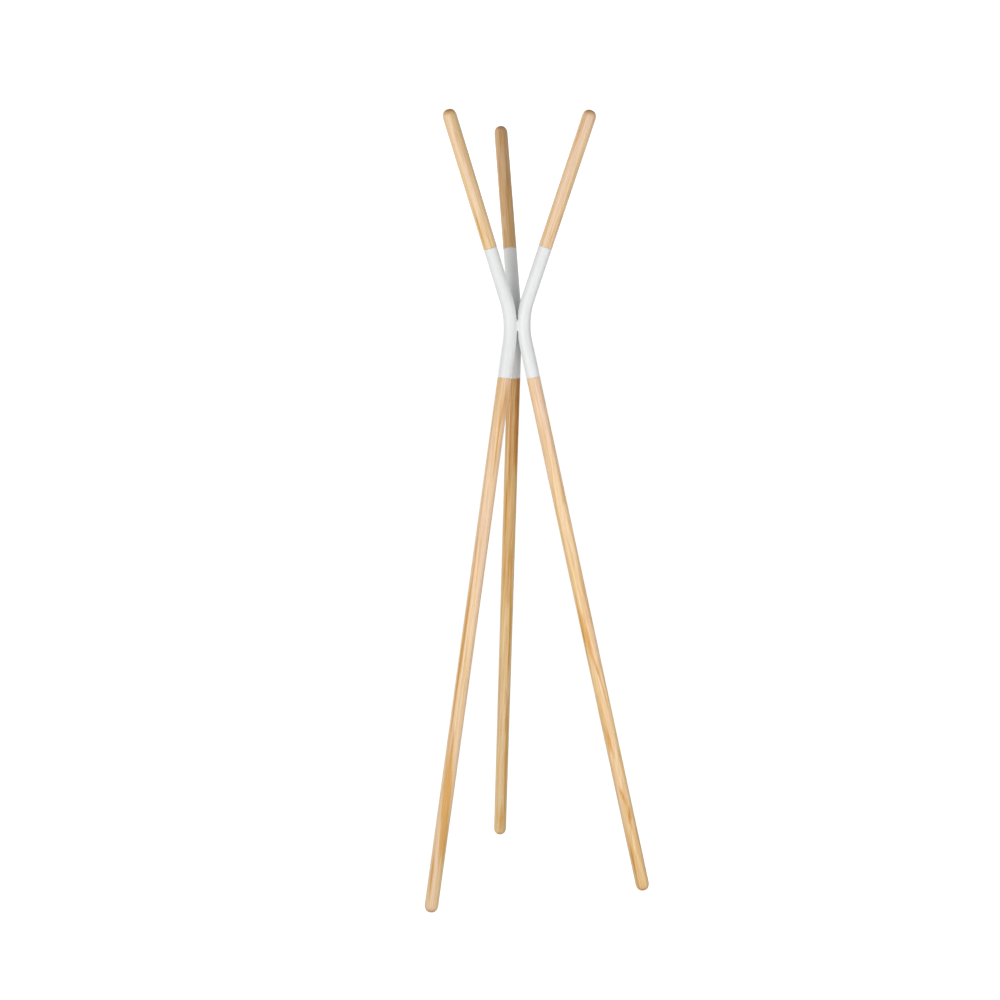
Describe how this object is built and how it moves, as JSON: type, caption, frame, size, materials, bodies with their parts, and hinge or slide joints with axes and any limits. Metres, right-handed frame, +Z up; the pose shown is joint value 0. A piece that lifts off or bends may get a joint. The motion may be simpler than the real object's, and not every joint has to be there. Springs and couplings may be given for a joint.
{
  "type": "standing coat rack",
  "caption": "Free-standing coat rack: bent rods of pale wood and white steel tube, welded at a narrow waist, with feet below and arms above to hang coats on.",
  "frame": {"origin": "middle of the bounding box's underside, on the floor that the feet stand on", "axes": "+Z up; +Y towards the back rod; the left and right rods stand towards -Y"},
  "size_m": [0.5106, 0.454, 1.7191],
  "materials": {
    "pale_wood": "clear satin lacquer over pale straight-grained hardwood",
    "white_paint": "satin white powder coat",
    "bare_steel": "bare machined steel, inside the tubes",
    "zinc_steel": "bright zinc plate"
  },
  "bodies": {
    "root": {"leg_left": "pale_wood", "leg_right": "pale_wood", "leg_back": "pale_wood", "arm_left": "pale_wood", "arm_right": "pale_wood", "arm_back": "pale_wood", "tube_left": "white_paint", "tube_right": "white_paint", "tube_back": "white_paint", "weld_left_right": "white_paint", "weld_right_back": "white_paint", "weld_back_left": "white_paint", "plug_upper_left": "bare_steel", "plug_upper_right": "bare_steel", "plug_upper_back": "bare_steel", "plug_lower_left": "bare_steel", "plug_lower_right": "bare_steel", "plug_lower_back": "bare_steel", "hanger_bolt_upper_left": "zinc_steel", "hanger_bolt_upper_right": "zinc_steel", "hanger_bolt_upper_back": "zinc_steel", "hanger_bolt_lower_left": "zinc_steel", "hanger_bolt_lower_right": "zinc_steel", "hanger_bolt_lower_back": "zinc_steel"}
  },
  "joints": []
}
